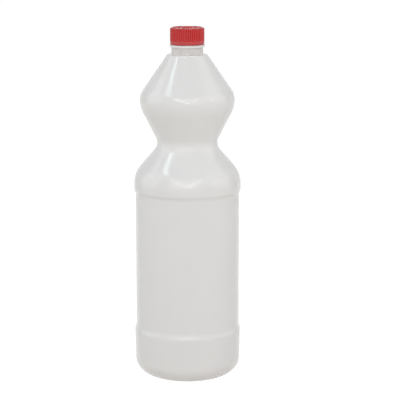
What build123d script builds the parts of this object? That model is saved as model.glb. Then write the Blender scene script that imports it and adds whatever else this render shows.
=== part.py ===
from build123d import *
import math
import os

# A waisted household bottle with a ribbed screw cap, in millimetres.
# +Z is up, the axis of the bottle is the Z axis, and z = 0 is the ring that it stands on.

# Shell: one even wall of blown plastic.
wall = 0.8

# Foot: a flat standing ring round a pushed-up floor.
ring_w = 3.6            # width of the flat that it stands on
toe_curve = 2.5
push_up = 6.0           # height of the floor at the axis
corner_curve = 15.5

# Label panel. The band under it and the shoulder over it stand proud, to shield a label.
panel_r = 46.7
panel_h = 125.2         # from the band's widest place to where the panel ends

# Base band, a little wider at its top than at the foot.
band_z = 40.4
band_proud = 1.3
band_draft = 0.6        # how much narrower the band would be at the floor
band_convex = 7.0
band_concave = 12.0

# Step from the panel out to the shoulder.
step_h = 9.3            # from the panel's end to the shoulder's widest place
step_concave = 8.0
step_convex = 4.0

# Shoulder, waist and the bulge that the hand holds under. Each height is from the form before it.
shoulder_proud = 1.33
shoulder_curve = 24.75
waist_h = 37.3
waist_r = 27.15
waist_curve = 10.4
bulge_h = 38.4
bulge_r = 42.27
bulge_lower = 26.4      # its curve below its widest place, and the one above
bulge_upper = 14.8

# Lip at the top of the bulge, the small flat disc inside it and the neck.
disc_h = 40.2
disc_w = 2.8            # from the neck to where the lip starts to curve
lip_curve = 1.5
neck_r = 14.2
neck_h = 5.8

# Neck finish: support bead, threaded spigot and mouth.
bead_out = 1.52         # beyond the neck
bead_h = 2.85
bead_under = 1.1        # height of the bead's sloping underside
bead_bevel = 0.25
finish_r = 12.6         # root of the thread, which the cap's own thread must clear
finish_wall = 1.7
finish_h = 12.95        # from the bead's top to the mouth
mouth_bevel = 0.4

# Liner: a loose disc of foam under the top of the cap.
liner_t = 0.8
liner_gap = 0.1         # above and below the disc
liner_side_gap = 0.2

# Screw cap.
cap_gap = 0.3           # between the bead and the cap's lower edge
thread_room = 1.25      # radial space for both threads
cap_wall = 1.4          # from the inside to the crest of a rib
cap_top_t = 1.25
cap_top_bevel = 0.9
cap_low_bevel = 0.4
cap_mouth_bevel = 0.4
plain_band_h = 2.65     # ring without ribs along the lower edge
rib_count = 50
rib_w = 0.42            # flat crest of a rib, between its two flutes
flute_depth = 0.4
flute_end_h = 0.55      # height of the slope that ends a flute over the plain ring
recess_rim = 2.0        # width of the raised rim round the top
recess_depth = 0.6
recess_draft = 0.2
boss_r = 3.9            # flat top of the raised round on the middle
boss_spread = 2.6       # how much wider its sloping side is at its foot
boss_stand = 1.0        # how far it stands above the rim

# Sizes that follow.
band_r = panel_r + band_proud
shoulder_r = panel_r + shoulder_proud
lip_r = neck_r + disc_w
bead_r = neck_r + bead_out
bore_r = finish_r - finish_wall

step_z = band_z + panel_h
shoulder_z = step_z + step_h
waist_z = shoulder_z + waist_h
bulge_z = waist_z + bulge_h
disc_z = bulge_z + disc_h
bead_z0 = disc_z + neck_h
bead_z1 = bead_z0 + bead_h
mouth_z = bead_z1 + finish_h

liner_z0 = mouth_z + liner_gap
cap_ceiling_z = liner_z0 + liner_t + liner_gap
cap_top_z = cap_ceiling_z + cap_top_t
cap_low_z = bead_z1 + cap_gap
cap_in_r = finish_r + thread_room
cap_r = cap_in_r + cap_wall
liner_r = cap_in_r - liner_side_gap


def touch(c1, s1, c2, s2):
    """Where one straight line touches two circles, the outside being on the right of the way from
    the first to the second. A radius is positive where the surface is convex and negative where it
    is hollow. Two circles that touch each other give the same point twice."""
    dr = c2[0] - c1[0]
    dz = c2[1] - c1[1]
    ratio = (s1 - s2) / math.hypot(dr, dz)
    turn = math.atan2(dz, dr) - math.acos(max(-1.0, min(1.0, ratio)))
    nr = math.cos(turn)
    nz = math.sin(turn)
    return (c1[0] + s1 * nr, c1[1] + s1 * nz), (c2[0] + s2 * nr, c2[1] + s2 * nz)


def rest_on(c1, r1, x2, r2):
    """Centre of a circle of radius r2 above c1, at the radius x2, that touches the circle c1, r1."""
    return x2, c1[1] + math.sqrt((r1 + r2) ** 2 - (x2 - c1[0]) ** 2)


def shell_circles():
    """The curves of the outside, from the middle of the floor up to the lip under the neck."""
    # The band leans outwards, so its foot corner and its upper curve are set square to its slope.
    lean = math.atan2(band_draft, band_z)
    drop = band_z - corner_curve
    corner_r = band_r - (drop * math.sin(lean) + corner_curve) / math.cos(lean)
    corner = ((corner_r, corner_curve), corner_curve)

    toe_r = corner_r - ring_w
    dome_r = (toe_r ** 2 + push_up ** 2 - 2 * push_up * toe_curve) / (2 * push_up)
    dome = ((0.0, push_up - dome_r), -dome_r)
    toe = ((toe_r, toe_curve), toe_curve)

    high = (band_r - band_convex * math.cos(lean), band_z + band_convex * math.sin(lean))
    low = rest_on(high, band_convex, panel_r + band_concave, band_concave)

    step_low = (panel_r + step_concave, step_z)
    step_high = rest_on(step_low, step_concave, shoulder_r - step_convex, step_convex)

    return [
        dome,
        toe,
        corner,
        (high, band_convex),
        (low, -band_concave),
        (step_low, -step_concave),
        (step_high, step_convex),
        ((shoulder_r - shoulder_curve, shoulder_z), shoulder_curve),
        ((waist_r + waist_curve, waist_z), -waist_curve),
        ((bulge_r - bulge_lower, bulge_z), bulge_lower),
        ((bulge_r - bulge_upper, bulge_z), bulge_upper),
        ((lip_r, disc_z - lip_curve), lip_curve),
    ]


def shell_edges(inset, end_z):
    """The outline of the shell, set in by a distance, from the axis over the lip and the flat disc
    inside it, and up the neck to end_z."""
    circles = [(centre, radius - inset) for centre, radius in shell_circles()]
    at = (0.0, circles[0][0][1] - circles[0][1])
    edges = []
    for k, (centre, radius) in enumerate(circles):
        if k + 1 < len(circles):
            leave, reach = touch(centre, radius, *circles[k + 1])
        else:
            leave = (centre[0], centre[1] + radius)
            reach = (neck_r - inset, centre[1] + radius)
        a0 = math.atan2((at[1] - centre[1]) / radius, (at[0] - centre[0]) / radius)
        a1 = math.atan2((leave[1] - centre[1]) / radius, (leave[0] - centre[0]) / radius)
        mid = (a0 + a1) / 2
        half = (centre[0] + radius * math.cos(mid), centre[1] + radius * math.sin(mid))
        edges.append(ThreePointArc(at, half, leave))
        if math.dist(leave, reach) > 1e-4:
            edges.append(Line(leave, reach))
            at = reach
        else:
            at = leave
    end = (neck_r - inset, end_z)
    edges.append(Line(at, end))
    return edges, end


def turned(edges):
    """A solid of revolution about Z, from a closed outline drawn as radius and height."""
    outline = make_face(Curve() + edges)
    return revolve(Plane.XZ * outline, Axis.Z, 360)


def make_bottle():
    """The blown shell with its moulded neck. The inside is the outside set in by the wall, up to
    the bead, where it narrows to the bore."""
    outer, at = shell_edges(0.0, bead_z0)
    finish = Polyline(
        at,
        (bead_r, bead_z0 + bead_under),
        (bead_r, bead_z1 - bead_bevel),
        (bead_r - bead_bevel, bead_z1),
        (finish_r, bead_z1),
        (finish_r, mouth_z - mouth_bevel),
        (finish_r - mouth_bevel, mouth_z),
        (bore_r + mouth_bevel, mouth_z),
        (bore_r, mouth_z - mouth_bevel),
        (bore_r, bead_z0),
    )
    narrow = neck_r - wall - bore_r
    inner, at = shell_edges(wall, bead_z0 - narrow)
    flare = Line((bore_r, bead_z0), at)
    floor = Line((0, push_up + wall), (0, push_up))
    return turned(outer + finish.edges() + [flare] + inner + [floor])


def make_liner():
    """The sealing disc, held in the top of the cap."""
    return Pos(0, 0, liner_z0) * Cylinder(liner_r, liner_t, align=(Align.CENTER, Align.CENTER, Align.MIN))


def make_cap():
    """The screw cap: a cup with a rim and a low sloping boss on top, and flutes that leave ribs
    between them."""
    floor_z = cap_top_z - recess_depth
    boss_z = cap_top_z + boss_stand
    recess_r = cap_r - recess_rim
    outline = Polyline(
        (0, cap_ceiling_z),
        (cap_in_r, cap_ceiling_z),
        (cap_in_r, cap_low_z + cap_mouth_bevel),
        (cap_in_r + cap_mouth_bevel, cap_low_z),
        (cap_r - cap_low_bevel, cap_low_z),
        (cap_r, cap_low_z + cap_low_bevel),
        (cap_r, cap_top_z - cap_top_bevel),
        (cap_r - cap_top_bevel, cap_top_z),
        (recess_r, cap_top_z),
        (recess_r - recess_draft, floor_z),
        (boss_r + boss_spread, floor_z),
        (boss_r, boss_z),
        (0, boss_z),
        (0, cap_ceiling_z),
    )
    cap = turned(outline.edges())

    # Each flute is a round groove, open at the top as the mould pulls off that way, and its lower
    # end slopes out to the plain ring.
    flute_half = math.pi * cap_r / rib_count - rib_w / 2
    flute_curve = (flute_half ** 2 + flute_depth ** 2) / (2 * flute_depth)
    flute_z = cap_low_z + plain_band_h
    flute_at = cap_r - flute_depth + flute_curve
    flutes = extrude(Sketch() + PolarLocations(flute_at, rib_count) * Circle(flute_curve), boss_z - flute_z)
    slope = Cone(cap_r, cap_r - flute_depth, flute_end_h, align=(Align.CENTER, Align.CENTER, Align.MIN))
    return cap - Pos(0, 0, flute_z) * (flutes - slope)


os.makedirs("parts", exist_ok=True)
for name, piece in {
    "bottle": make_bottle(),
    "cap_liner": make_liner(),
    "screw_cap": make_cap(),
}.items():
    export_step(piece, "parts/" + name + ".step")
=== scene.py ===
"""A tall white household bottle with a hand waist, and its red ribbed screw cap.

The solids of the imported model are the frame. Each section below is one real piece, drawn in
millimetres with the axis of the bottle on Z, and made a mesh in metres at the end of its section.
"""
import math

import bmesh
import bpy
from mathutils import Matrix, Vector


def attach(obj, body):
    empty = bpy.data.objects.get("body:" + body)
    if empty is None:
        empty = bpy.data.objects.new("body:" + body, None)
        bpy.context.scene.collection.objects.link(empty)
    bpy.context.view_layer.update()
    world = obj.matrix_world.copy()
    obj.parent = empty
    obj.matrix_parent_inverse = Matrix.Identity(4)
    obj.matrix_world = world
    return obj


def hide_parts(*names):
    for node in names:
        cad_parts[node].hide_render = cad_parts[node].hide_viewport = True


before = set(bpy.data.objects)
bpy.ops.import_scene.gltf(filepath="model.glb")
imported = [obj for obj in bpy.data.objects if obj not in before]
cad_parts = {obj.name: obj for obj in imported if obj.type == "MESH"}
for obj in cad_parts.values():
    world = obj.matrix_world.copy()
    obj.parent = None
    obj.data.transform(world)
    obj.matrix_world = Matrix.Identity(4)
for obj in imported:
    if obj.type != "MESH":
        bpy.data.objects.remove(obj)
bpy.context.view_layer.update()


# ---------------------------------------------------------------------------------------------
# The bottle: one hollow moulding of white high-density polyethylene, about 0.8 mm thick. It is
# blown from a hot tube closed between two mould halves, so it has a fine parting line up each
# side, a pinched seam under the foot, and a moulded thread for the cap on its neck.

WALL = 0.8
RING_W, TOE_CURVE, PUSH_UP, CORNER_CURVE = 3.6, 2.5, 6.0, 15.5
PANEL_R, PANEL_H = 46.7, 125.2
BAND_Z, BAND_PROUD, BAND_DRAFT, BAND_CONVEX, BAND_CONCAVE = 40.4, 1.3, 0.6, 7.0, 12.0
STEP_H, STEP_CONCAVE, STEP_CONVEX = 9.3, 8.0, 4.0
SHOULDER_PROUD, SHOULDER_CURVE = 1.33, 24.75
WAIST_H, WAIST_R, WAIST_CURVE = 37.3, 27.15, 10.4
BULGE_H, BULGE_R, BULGE_LOWER, BULGE_UPPER = 38.4, 42.27, 26.4, 14.8
DISC_H, DISC_W, LIP_CURVE, NECK_R, NECK_H = 40.2, 2.8, 1.5, 14.2, 5.8
BEAD_OUT, BEAD_H, BEAD_UNDER = 1.52, 2.85, 1.1
FINISH_R, FINISH_WALL, FINISH_H, MOUTH_EDGE = 12.6, 1.7, 12.95, 0.4

STEP_Z = BAND_Z + PANEL_H
SHOULDER_Z = STEP_Z + STEP_H
WAIST_Z = SHOULDER_Z + WAIST_H
BULGE_Z = WAIST_Z + BULGE_H
DISC_Z = BULGE_Z + DISC_H
BEAD_Z0 = DISC_Z + NECK_H
BEAD_Z1 = BEAD_Z0 + BEAD_H
MOUTH_Z = BEAD_Z1 + FINISH_H
BEAD_R = NECK_R + BEAD_OUT
BORE_R = FINISH_R - FINISH_WALL

THREAD_START, THREAD_DEPTH, THREAD_PITCH, THREAD_TURNS = 3.4, 0.9, 4.2, 1.5
THREAD_Z = BEAD_Z1 + THREAD_START

BOTTLE_SEGMENTS = 192
WELD = 0.0005           # vertices nearer than this are one


def resting(low, low_curve, x, curve):
    """Centre of the next curve up, at the radius x, where it touches the one below."""
    return x, low[1] + math.sqrt((low_curve + curve) ** 2 - (x - low[0]) ** 2)


def body_curves():
    """The curves of the outside from the floor to the lip: centre radius, centre height and the
    curve, which is negative where the surface is hollow."""
    band_r = PANEL_R + BAND_PROUD
    lean = math.atan2(BAND_DRAFT, BAND_Z)
    drop = BAND_Z - CORNER_CURVE
    corner_r = band_r - (drop * math.sin(lean) + CORNER_CURVE) / math.cos(lean)
    toe_r = corner_r - RING_W
    dome = (toe_r ** 2 + PUSH_UP ** 2 - 2 * PUSH_UP * TOE_CURVE) / (2 * PUSH_UP)
    band = (band_r - BAND_CONVEX * math.cos(lean), BAND_Z + BAND_CONVEX * math.sin(lean))
    under = resting(band, BAND_CONVEX, PANEL_R + BAND_CONCAVE, BAND_CONCAVE)
    step = (PANEL_R + STEP_CONCAVE, STEP_Z)
    over = resting(step, STEP_CONCAVE, PANEL_R + SHOULDER_PROUD - STEP_CONVEX, STEP_CONVEX)
    return [
        (0.0, PUSH_UP - dome, -dome),
        (toe_r, TOE_CURVE, TOE_CURVE),
        (corner_r, CORNER_CURVE, CORNER_CURVE),
        (*band, BAND_CONVEX),
        (*under, -BAND_CONCAVE),
        (*step, -STEP_CONCAVE),
        (*over, STEP_CONVEX),
        (PANEL_R + SHOULDER_PROUD - SHOULDER_CURVE, SHOULDER_Z, SHOULDER_CURVE),
        (WAIST_R + WAIST_CURVE, WAIST_Z, -WAIST_CURVE),
        (BULGE_R - BULGE_LOWER, BULGE_Z, BULGE_LOWER),
        (BULGE_R - BULGE_UPPER, BULGE_Z, BULGE_UPPER),
        (NECK_R + DISC_W, DISC_Z - LIP_CURVE, LIP_CURVE),
    ]


def draw_run(bm, vert, x, z, run=4.0):
    """A straight run of the outline from vert to (x, z), in steps no longer than run."""
    start, end = vert.co.copy(), Vector((x, 0, z))
    steps = max(1, math.ceil((end - start).length / run))
    for k in range(1, steps + 1):
        vert = bmesh.ops.extrude_vert_indiv(bm, verts=[vert])["verts"][0]
        vert.co = start.lerp(end, k / steps)
    return vert


def draw_turn(bm, vert, x, z, turn, step):
    """A curve of the outline about (x, z), anticlockwise for a positive turn in radians, in steps
    of about step degrees."""
    steps = max(2, math.ceil(math.degrees(abs(turn)) / step))
    out = bmesh.ops.spin(bm, geom=[vert], cent=(x, 0, z), axis=(0, -1, 0), angle=turn, steps=steps)
    return next(v for v in out["geom_last"] if isinstance(v, bmesh.types.BMVert))


def draw_body(bm, inset, finish_z, run, step):
    """The outline of the blown body, set in by inset, from the axis up the neck to finish_z."""
    curves = [(x, z, r - inset) for x, z, r in body_curves()]
    vert = bm.verts.new((0, 0, curves[0][1] - curves[0][2]))
    for k, (x, z, r) in enumerate(curves):
        facing = math.atan2((vert.co.z - z) / r, (vert.co.x - x) / r)
        if k + 1 < len(curves):
            nx, nz, nr = curves[k + 1]
            ratio = (r - nr) / math.hypot(nx - x, nz - z)
            leave = math.atan2(nz - z, nx - x) - math.acos(max(-1.0, min(1.0, ratio)))
            reach = (nx + nr * math.cos(leave), nz + nr * math.sin(leave))
        else:
            leave, reach = math.pi / 2, (NECK_R - inset, z + r)
        vert = draw_turn(bm, vert, x, z, leave - facing, step)
        gap = math.hypot(vert.co.x - reach[0], vert.co.z - reach[1])
        if gap > 0.001:
            vert = draw_run(bm, vert, *reach, run)
    return draw_run(bm, vert, NECK_R - inset, finish_z, run)


def turn_round(bm, segments):
    """A full turn of an outline about the axis, closed at its poles and along its seam."""
    bmesh.ops.spin(bm, geom=bm.verts[:] + bm.edges[:], cent=(0, 0, 0), axis=(0, 0, 1),
                   angle=math.tau, steps=segments, use_merge=True)
    bmesh.ops.remove_doubles(bm, verts=bm.verts, dist=WELD)


def round_ring(bm, r, z, width, segments=3):
    """Rounds the edge ring at radius r and height z."""
    near = 0.003
    ring = [e for e in bm.edges if all(
        abs(math.hypot(v.co.x, v.co.y) - r) < near and abs(v.co.z - z) < near for v in e.verts)]
    bmesh.ops.bevel(bm, geom=ring, offset=width, offset_type="OFFSET", affect="EDGES",
                    segments=segments, profile=0.5, material=-1)


def add(bm, part):
    """Moves a part that was drawn by itself into the mesh of its piece."""
    passed = bpy.data.meshes.new("passed")
    part.to_mesh(passed)
    part.free()
    bm.from_mesh(passed)
    bpy.data.meshes.remove(passed)


def thread(root_r, crest_r, z, half_root, half_crest, sunk=0.3, least=0.02, step=5.0, taper=35.0):
    """A right-handed thread ridge, which rises from z. Over taper degrees at both ends it fades
    to the height least. The crest may be outside the wall, as on a neck, or inside it, as in a
    cap, and the root is sunk into the wall."""
    bm = bmesh.new()
    steps = round(THREAD_TURNS * 360 / step)
    inward = math.copysign(sunk, root_r - crest_r)
    corners = (
        (root_r + inward, half_root),
        (crest_r, half_crest),
        (crest_r, -half_crest),
        (root_r + inward, -half_root),
    )
    verts = [bm.verts.new((r, 0, z + h)) for r, h in corners]
    edges = [bm.edges.new((verts[k], verts[(k + 1) % 4])) for k in range(4)]
    bm.faces.new(verts)
    for k in range(steps + 1):
        if k:
            out = bmesh.ops.extrude_edge_only(bm, edges=edges)["geom"]
            verts = [g for g in out if isinstance(g, bmesh.types.BMVert)]
            edges = [g for g in out if isinstance(g, bmesh.types.BMEdge)
                     and all(v in verts for v in g.verts)]
            turn = Matrix.Rotation(math.radians(step), 3, "Z")
            bmesh.ops.rotate(bm, verts=verts, cent=(0, 0, 0), matrix=turn)
            bmesh.ops.translate(bm, verts=verts, vec=(0, 0, THREAD_PITCH * step / 360))
        by_r = sorted(verts, key=lambda v: abs(math.hypot(v.co.x, v.co.y) - root_r - inward))
        full = min(1.0, min(k, steps - k) * step / taper)
        reach = root_r + (crest_r - root_r) * math.sin(full * math.pi / 2) - least * inward / sunk
        for v in by_r[2:]:
            bmesh.ops.scale(bm, verts=[v], vec=(reach / math.hypot(v.co.x, v.co.y),) * 2 + (1,))
    bmesh.ops.contextual_create(bm, geom=edges)
    return bm


def finished(bm, name, material, sharp):
    """The piece as an object in metres, smooth but for edges over sharp degrees."""
    bmesh.ops.recalc_face_normals(bm, faces=bm.faces)
    bmesh.ops.scale(bm, verts=bm.verts, vec=(0.001, 0.001, 0.001))
    mesh = bpy.data.meshes.new(name)
    bm.to_mesh(mesh)
    bm.free()
    mesh.polygons.foreach_set("use_smooth", [True] * len(mesh.polygons))
    mesh.set_sharp_from_angle(angle=math.radians(sharp))
    mesh.materials.append(material)
    piece = bpy.data.objects.new(name, mesh)
    bpy.context.scene.collection.objects.link(piece)
    return piece


def add_node(tree, kind, inputs, **settings):
    """A new node with its settings. Its inputs are values, or what other nodes put out."""
    made = tree.nodes.new("ShaderNode" + kind)
    for name, value in settings.items():
        setattr(made, name, value)
    for socket, value in inputs.items():
        if isinstance(value, bpy.types.NodeSocket):
            tree.links.new(value, made.inputs[socket])
        else:
            made.inputs[socket].default_value = value
    return made


def combine(tree, operation, first, second):
    """What a piece of arithmetic makes of two values."""
    return add_node(tree, "Math", {0: first, 1: second}, operation=operation).outputs[0]


def ramp(tree, measure, start, end, low=0, high=1):
    """low up to start and high from end, given in millimetres, and a straight ramp between."""
    return add_node(tree, "MapRange", {
        "Value": measure, "From Min": start / 1000, "From Max": end / 1000,
        "To Min": low, "To Max": high}).outputs["Result"]


def new_skin(name):
    """A material with its node tree, its shader and the place on the piece."""
    made = bpy.data.materials.new(name)
    made.use_nodes = True
    tree = made.node_tree
    place = add_node(tree, "TexCoord", {}).outputs["Object"]
    return made, tree, tree.nodes["Principled BSDF"].inputs, place


def plastic(name, colour, shade, cloud_size, roughness, dimple_size, dimple_depth, **settings):
    """A moulded plastic: colour drifts faintly to shade over cloud_size, the gloss varies a
    little, and the skin has shallow dimples. Sizes are in metres."""
    made, tree, skin, place = new_skin(name)
    for socket, value in settings.items():
        skin[socket.replace("_", " ")].default_value = value
    clouds = add_node(tree, "TexNoise", {"Vector": place, "Scale": 1 / cloud_size, "Detail": 3})
    drift = clouds.outputs["Fac"]
    tint = add_node(tree, "Mix", {"Factor": drift, "A": (*colour, 1), "B": (*shade, 1)},
                    data_type="RGBA")
    tree.links.new(tint.outputs["Result"], skin["Base Color"])

    gloss = add_node(tree, "MapRange", {
        "Value": drift, "From Min": 0.3, "From Max": 0.7,
        "To Min": roughness[0], "To Max": roughness[1]})
    tree.links.new(gloss.outputs["Result"], skin["Roughness"])

    dimples = add_node(tree, "TexNoise", {"Vector": place, "Scale": 1 / dimple_size, "Detail": 2})
    relief = add_node(tree, "Bump", {
        "Height": dimples.outputs["Fac"], "Strength": 1, "Distance": dimple_depth})
    tree.links.new(relief.outputs["Normal"], skin["Normal"])
    return made


def tone(material, where, colour, blend="MIX"):
    """Lays a colour over that of a material, as far as where says."""
    tree = material.node_tree
    base = tree.nodes["Principled BSDF"].inputs["Base Color"]
    toned = add_node(tree, "Mix", {
        "Factor": where, "A": base.links[0].from_socket, "B": (*colour, 1)},
        data_type="RGBA", blend_type=blend)
    tree.links.new(toned.outputs["Result"], base)


def height_on(material):
    """The height of each point, in metres."""
    tree = material.node_tree
    place = tree.nodes["Texture Coordinate"].outputs["Object"]
    return add_node(tree, "SeparateXYZ", {0: place}).outputs["Z"]


# The outside, from the middle of the floor up over the mouth to the top of the bore.
bottle = bmesh.new()
tip = draw_body(bottle, 0.0, BEAD_Z0, run=4.0, step=3.0)
for x, z in (
    (BEAD_R, BEAD_Z0 + BEAD_UNDER),
    (BEAD_R, BEAD_Z1),
    (FINISH_R, BEAD_Z1),
    (FINISH_R, MOUTH_Z),
    (BORE_R, MOUTH_Z),
):
    tip = draw_run(bottle, tip, x, z)
turn_round(bottle, BOTTLE_SEGMENTS)
for r, z, width in (
    (NECK_R, DISC_Z, 0.6),
    (NECK_R, BEAD_Z0, 0.3),
    (BEAD_R, BEAD_Z0 + BEAD_UNDER, 0.3),
    (BEAD_R, BEAD_Z1, 0.4),
    (FINISH_R, BEAD_Z1, 0.3),
    (FINISH_R, MOUTH_Z, MOUTH_EDGE),
):
    round_ring(bottle, r, z, width)

# The parting line stands out by a hair where the mould halves met, from the foot to the bead.
# On the pushed-up floor it begins under the pinched seam.
PARTING_HALF_WIDTH, PARTING_HEIGHT = 0.22, 0.06
PARTING_Z0, PARTING_Z1, PARTING_IN_R = 2.0, BEAD_Z0 - 0.5, 13.0
CUT_HALF_WIDTH, CUT_Z0 = 3.2, 1.5       # faces in here are cut along both sides of the line
for side in (-PARTING_HALF_WIDTH, PARTING_HALF_WIDTH):
    near = [f for f in bottle.faces if all(
        abs(v.co.y) < CUT_HALF_WIDTH and CUT_Z0 < v.co.z < BEAD_Z0
        and math.hypot(v.co.x, v.co.y) > PARTING_IN_R for v in f.verts)]
    parts = {g for f in near for g in (*f.verts, *f.edges, f)}
    bmesh.ops.bisect_plane(bottle, geom=list(parts), dist=1e-5,
                           plane_co=(0, side, 0), plane_no=(0, 1, 0))
bottle.normal_update()
widest = PANEL_R + SHOULDER_PROUD
for v in bottle.verts:
    on_line = abs(v.co.y) < 1e-4 and abs(v.co.x) > PARTING_IN_R
    if on_line and PARTING_Z0 < v.co.z < PARTING_Z1:
        v.co += v.normal * PARTING_HEIGHT
        v.co.x = max(-widest, min(widest, v.co.x))

# The inside follows the outside at the wall's thickness and narrows to the bore.
inside = bmesh.new()
tip = draw_body(inside, WALL, BEAD_Z0 - (NECK_R - WALL - BORE_R), run=8.0, step=6.0)
tip = draw_run(inside, tip, BORE_R, BEAD_Z0)
tip = draw_run(inside, tip, BORE_R, MOUTH_Z)
turn_round(inside, BOTTLE_SEGMENTS)
add(bottle, inside)
bmesh.ops.remove_doubles(bottle, verts=bottle.verts, dist=WELD)
bmesh.ops.recalc_face_normals(bottle, faces=bottle.faces)
round_ring(bottle, BORE_R, MOUTH_Z, MOUTH_EDGE)

# The pinched seam under the foot is a low bar in line with the parting line, bent to the
# pushed-up floor and sunk into it.
PINCH_HALF_LENGTH, PINCH_HALF_WIDTH, PINCH_HEIGHT = 21.0, 0.55, 0.35
PINCH_SPREAD, PINCH_SUNK = 0.3, 0.2
_, floor_z, floor_curve = body_curves()[0]
swing = 2 * math.asin(PINCH_HALF_LENGTH / -floor_curve)
bar = bmesh.new()
bar.faces.new([bar.verts.new((0, y, floor_z - floor_curve + dz)) for y, dz in (
    (-PINCH_HALF_WIDTH - PINCH_SPREAD, PINCH_SUNK),
    (-PINCH_HALF_WIDTH, -PINCH_HEIGHT),
    (PINCH_HALF_WIDTH, -PINCH_HEIGHT),
    (PINCH_HALF_WIDTH + PINCH_SPREAD, PINCH_SUNK),
)])
to_one_end = Matrix.Rotation(-swing / 2, 3, "Y")
bmesh.ops.rotate(bar, verts=bar.verts, cent=(0, 0, floor_z), matrix=to_one_end)
bmesh.ops.spin(bar, geom=bar.faces[:], cent=(0, 0, floor_z), axis=(0, 1, 0), angle=swing, steps=24)
add(bottle, bar)

# The neck's thread, hidden by the cap until it is off.
add(bottle, thread(FINISH_R, FINISH_R + THREAD_DEPTH, THREAD_Z, half_root=1.0, half_crest=0.45))

white_plastic = plastic(
    "white_bottle_plastic", colour=(0.80, 0.80, 0.798), shade=(0.775, 0.774, 0.77),
    cloud_size=0.05, roughness=(0.12, 0.16), dimple_size=0.0022, dimple_depth=0.000012,
    Subsurface_Weight=0.12, Subsurface_Scale=0.002, Subsurface_Radius=(1.0, 0.9, 0.8), IOR=1.46)

# Painted shade: the neck from lip to bead is coloured darker and warmer, as the cap and bead shade
# it and little light comes through it from inside.
tree, height = white_plastic.node_tree, height_on(white_plastic)
over_lip = ramp(tree, height, start=DISC_Z - 0.6, end=DISC_Z + 0.6)
under_bead = ramp(tree, height, start=BEAD_Z0, end=BEAD_Z0 + 0.6, low=1, high=0)
neck_painted_shade = combine(tree, "MULTIPLY", over_lip, under_bead)
tone(white_plastic, neck_painted_shade, colour=(0.83, 0.80, 0.78), blend="MULTIPLY")

bottle = finished(bottle, "blown_bottle", white_plastic, sharp=40)
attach(bottle, "body")
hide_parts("bottle")


# ---------------------------------------------------------------------------------------------
# The sealing liner: a loose disc of closed-cell polyethylene foam, punched from sheet, that sits
# in the top of the cap and is pressed on the mouth as the cap is screwed down.

def foam(name, colour, roughness, cell, pit_depth, pit_painted_shade):
    """White foam sheet: the tops of its cells show as fine pits, and the colour in the pits is
    painted darker by the given share, as painted shade. Sizes are in metres."""
    made, tree, skin, place = new_skin(name)
    skin["Roughness"].default_value = roughness
    cells = add_node(tree, "TexVoronoi", {"Vector": place, "Scale": 1 / cell}).outputs["Distance"]
    # Painted shade: the pits take a darker copy of the colour.
    shade = (pit_painted_shade * c for c in colour)
    tint = add_node(tree, "Mix", {"Factor": cells, "A": (*colour, 1), "B": (*shade, 1)},
                    data_type="RGBA")
    tree.links.new(tint.outputs["Result"], skin["Base Color"])
    pits = add_node(tree, "Bump", {"Height": cells, "Strength": 0.6, "Distance": pit_depth},
                    invert=True)
    tree.links.new(pits.outputs["Normal"], skin["Normal"])
    return made


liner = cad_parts["cap_liner"]
liner.data.materials.clear()
liner.data.materials.append(foam(
    "white_foam", colour=(0.78, 0.78, 0.76), roughness=0.75, cell=0.0006, pit_depth=0.00008,
    pit_painted_shade=0.86))


# ---------------------------------------------------------------------------------------------
# The screw cap: one injection moulding of red polypropylene. It has fifty grip ribs over a plain
# ring, a raised rim and a low sloping boss on its top, and a thread inside that runs under the
# neck's.

CAP_GAP, THREAD_ROOM, CAP_WALL, LINER_ROOM, CAP_TOP = 0.3, 1.25, 1.4, 1.0, 1.25
TOP_CURVE, LOW_EDGE = 1.5, 0.4
RIBS, RIB_CREST, CUTS_TO_A_RIB = 50, 0.42, 12
PLAIN_RING_H, FLUTE_DEPTH, FLUTE_END_H = 2.65, 0.4, 0.55
RIM_W, RECESS_DEPTH, RECESS_DRAFT = 2.0, 0.6, 0.2
BOSS_R, BOSS_FOOT_R, BOSS_STAND = 3.9, 6.5, 1.0

CAP_LOW_Z = BEAD_Z1 + CAP_GAP
CAP_IN_R = FINISH_R + THREAD_ROOM
CAP_R = CAP_IN_R + CAP_WALL
CEILING_Z = MOUTH_Z + LINER_ROOM
CAP_TOP_Z = CEILING_Z + CAP_TOP
FLUTE_Z = CAP_LOW_Z + PLAIN_RING_H
RECESS_R = CAP_R - RIM_W
BOSS_Z = CAP_TOP_Z + BOSS_STAND

cap = bmesh.new()
tip = cap.verts.new((0, 0, CEILING_Z))
for x, z in (
    (CAP_IN_R, CEILING_Z),
    (CAP_IN_R, CAP_LOW_Z),
    (CAP_R, CAP_LOW_Z),
    (CAP_R, FLUTE_Z),
    (CAP_R, FLUTE_Z + FLUTE_END_H),
    (CAP_R, CAP_TOP_Z - TOP_CURVE),
):
    tip = draw_run(cap, tip, x, z, run=5.0)
tip = draw_turn(cap, tip, CAP_R - TOP_CURVE, CAP_TOP_Z - TOP_CURVE, math.pi / 2, step=15)
for x, z in (
    (RECESS_R, CAP_TOP_Z),
    (RECESS_R - RECESS_DRAFT, CAP_TOP_Z - RECESS_DEPTH),
    (BOSS_FOOT_R, CAP_TOP_Z - RECESS_DEPTH),
    (BOSS_R, BOSS_Z),
    (0, BOSS_Z),
):
    tip = draw_run(cap, tip, x, z, run=5.0)
turn_round(cap, RIBS * CUTS_TO_A_RIB)

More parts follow.
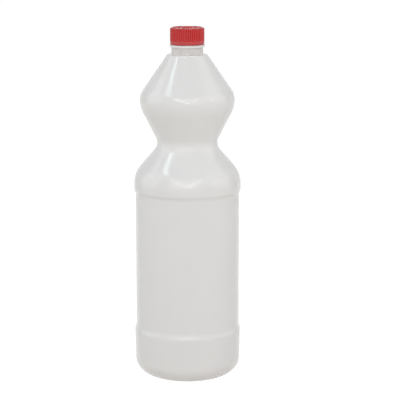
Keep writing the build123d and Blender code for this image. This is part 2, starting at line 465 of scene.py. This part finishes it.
# The flutes are round grooves that run out through the rounded top edge, as the mould pulls off
# that way. Their lower ends slope out to the plain ring.
pitch = math.tau / RIBS
flute_half = CAP_R * pitch / 2 - RIB_CREST / 2
flute_curve = (flute_half ** 2 + FLUTE_DEPTH ** 2) / (2 * FLUTE_DEPTH)
flute_at = CAP_R - FLUTE_DEPTH + flute_curve
for v in cap.verts:
    r = math.hypot(v.co.x, v.co.y)
    over_ring = v.co.z > FLUTE_Z + 0.05
    on_outside = r > CAP_IN_R + 0.5
    if over_ring and on_outside:
        off = abs((math.atan2(v.co.y, v.co.x) + pitch / 2) % pitch - pitch / 2)
        across = flute_at * math.sin(off)
        if across < flute_curve:
            groove = flute_at * math.cos(off) - math.sqrt(flute_curve ** 2 - across ** 2)
            if groove < r:
                v.co.xy *= groove / r
for r, z, width in (
    (CAP_IN_R, CAP_LOW_Z, LOW_EDGE),
    (CAP_R, CAP_LOW_Z, LOW_EDGE),
    (RECESS_R, CAP_TOP_Z, 0.15),
    (BOSS_R, BOSS_Z, 0.4),
):
    round_ring(cap, r, z, width, segments=2)
add(cap, thread(CAP_IN_R, CAP_IN_R - THREAD_DEPTH, THREAD_Z - THREAD_PITCH / 2,
                half_root=0.8, half_crest=0.35))

red_plastic = plastic(
    "red_cap_plastic", colour=(0.54, 0.001, 0.002), shade=(0.51, 0.001, 0.002),
    cloud_size=0.012, roughness=(0.08, 0.12), dimple_size=0.0009, dimple_depth=0.000003,
    IOR=1.49, Specular_IOR_Level=0.15)

# Painted sheen and highlight: the crests of the ribs, the plain ring and the rounded rim are
# coloured paler, for the gloss that they catch from the lights.
tree, height = red_plastic.node_tree, height_on(red_plastic)
place = tree.nodes["Texture Coordinate"].outputs["Object"]
flat = add_node(tree, "VectorMath", {0: place, 1: (1, 1, 0)}, operation="MULTIPLY")
from_axis = add_node(tree, "VectorMath", {0: flat.outputs["Vector"]}, operation="LENGTH")
radius = from_axis.outputs["Value"]
crest_painted_sheen = ramp(tree, radius, start=CAP_R - 0.30, end=CAP_R - 0.06)
near_top = ramp(tree, height, start=CAP_TOP_Z - TOP_CURVE, end=CAP_TOP_Z - 0.7)
round_recess = ramp(tree, radius, start=RECESS_R - 0.1, end=RECESS_R + 0.1)
rim_painted_highlight = combine(tree, "MULTIPLY", near_top, round_recess)
tone(red_plastic, combine(tree, "MAXIMUM", crest_painted_sheen, rim_painted_highlight), colour=(0.55, 0.072, 0.072))

cap = finished(cap, "ribbed_cap", red_plastic, sharp=50)
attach(cap, "cap")
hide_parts("screw_cap")


# ---------------------------------------------------------------------------------------------
# The studio: a seamless white floor in a white room. Lit cards stand left, right and in front, a
# narrow cool light leans high on the left, and slits between the cards draw thin lines in the
# gloss. Soft boxes hang over the object, and the camera is 1.4 m away.

def seen_directly(tree):
    """1 for what is seen straight, in gloss or through, and 0 for light on its way."""
    path = add_node(tree, "LightPath", {}).outputs
    seen = combine(tree, "MAXIMUM", path["Is Camera Ray"], path["Is Glossy Ray"])
    return combine(tree, "MAXIMUM", seen, path["Is Transmission Ray"])


def stage_floor(half, drop, glow_seen, share, own):
    """A white floor wider than the view, drop millimetres under the foot. It glows where it is
    seen, the share of its white that it takes from the light keeps the shadow, and own is the
    colour that lights the object."""
    sheet = bmesh.new()
    bmesh.ops.create_grid(sheet, x_segments=4, y_segments=4, size=half * 1000)
    bmesh.ops.translate(sheet, verts=sheet.verts, vec=(0, 0, -drop))
    paint = bpy.data.materials.new("floor_paint")
    paint.use_nodes = True
    tree = paint.node_tree
    tree.nodes.clear()
    seen = seen_directly(tree)
    colour = add_node(tree, "Mix", {
        "Factor": seen, "A": (*own, 1), "B": (share, share, share, 1)}, data_type="RGBA")
    lit = add_node(tree, "BsdfDiffuse", {"Color": colour.outputs["Result"]})
    glow = add_node(tree, "Emission", {"Strength": combine(tree, "MULTIPLY", seen, glow_seen)})
    both = add_node(tree, "AddShader", {0: lit.outputs[0], 1: glow.outputs[0]})
    add_node(tree, "OutputMaterial", {"Surface": both.outputs[0]})
    finished(sheet, "floor", paint, sharp=30)


stage_floor(half=15.0, drop=0.2, glow_seen=0.95, share=0.42, own=(0.76, 0.70, 0.65))


def room(light, seen_as):
    """A plain white room: its light on the object, and the white that is seen."""
    world = bpy.data.worlds.new("white_room")
    bpy.context.scene.world = world
    world.use_nodes = True
    tree = world.node_tree
    tree.nodes.clear()
    strength = add_node(tree, "MapRange", {
        "Value": seen_directly(tree), "To Min": light, "To Max": seen_as})
    glow = add_node(tree, "Background", {
        "Color": (1, 1, 1, 1), "Strength": strength.outputs["Result"]})
    add_node(tree, "OutputWorld", {"Surface": glow.outputs[0]})


room(light=0.155, seen_as=1.0)


def light(name, start, end, away, wide, power, tint=(1, 1, 1), shape="RECTANGLE",
          lights=True, shines=True):
    """A soft light from start to end, each given as the object sees it, in degrees right of the
    camera and degrees up. It faces the object from about the distance away, in metres. It may be
    kept from lighting the plain colour, or from showing in the gloss."""
    seen_from = Vector((0, 0, 0.23))
    ends = []
    for side, up in (start, end):
        side, up = math.radians(side), math.radians(up)
        towards = (math.sin(side) * math.cos(up), -math.cos(side) * math.cos(up), math.sin(up))
        ends.append(away * Vector(towards))
    along = (ends[1] - ends[0]).normalized()
    middle = (ends[0] + ends[1]) / 2
    across = along.cross(middle).normalized()
    lamp = bpy.data.lights.new(name, "AREA")
    lamp.shape = shape
    lamp.size, lamp.size_y = wide, (ends[1] - ends[0]).length
    lamp.energy = power
    lamp.color = tint
    box = bpy.data.objects.new(name, lamp)
    turn = Matrix((across, along, across.cross(along))).transposed()
    box.matrix_world = Matrix.Translation(seen_from + middle) @ turn.to_4x4()
    box.visible_camera = False
    box.visible_diffuse = lights
    box.visible_glossy = shines
    bpy.context.scene.collection.objects.link(box)


light("key_left", (-98, 54.5), (-58, 48.5), away=1.3, wide=0.16, power=1.4, tint=(0.82, 1.0, 1.0))
light("seam_left", (-50, 42), (-2, 8), away=1.5, wide=0.02, power=2.6, lights=False)
light("seam_right", (0, 8), (40, 38), away=1.4, wide=0.02, power=2.0, lights=False)
light("short_right", (50, 16), (78, 22), away=1.4, wide=0.03, power=1.5, lights=False)
light("fill", (18, 8), (18, 46), away=1.4, wide=1.5, power=4.9, shines=False)
light("card_right", (85, -6), (85, 54), away=1.4, wide=1.1, power=4.6)
light("card_left", (-91, -10), (-91, 44), away=1.4, wide=1.0, power=4.8)
light("card_front", (-4, -14), (-4, 42), away=1.6, wide=2.0, power=8.6, shape="ELLIPSE")
light("box_over", (0, 76), (180, 50), away=1.3, wide=1.0, power=1.6)
light("shine_over", (0, 80), (180, 62), away=1.3, wide=0.7, power=28.0, tint=(0.85, 1.0, 1.0),
      lights=False)

CAMERA_AT, CAMERA_TILT = (0.01128, -1.4142, 0.43405), 79.008
camera = bpy.data.cameras.new("camera")
camera.lens = 144
camera.sensor_width = 36
camera.clip_end = 100
viewer = bpy.data.objects.new("camera", camera)
viewer.location = CAMERA_AT
viewer.rotation_euler = (math.radians(CAMERA_TILT), 0, 0)
bpy.context.scene.collection.objects.link(viewer)
bpy.context.scene.camera = viewer

bpy.context.scene.view_settings.view_transform = "Standard"
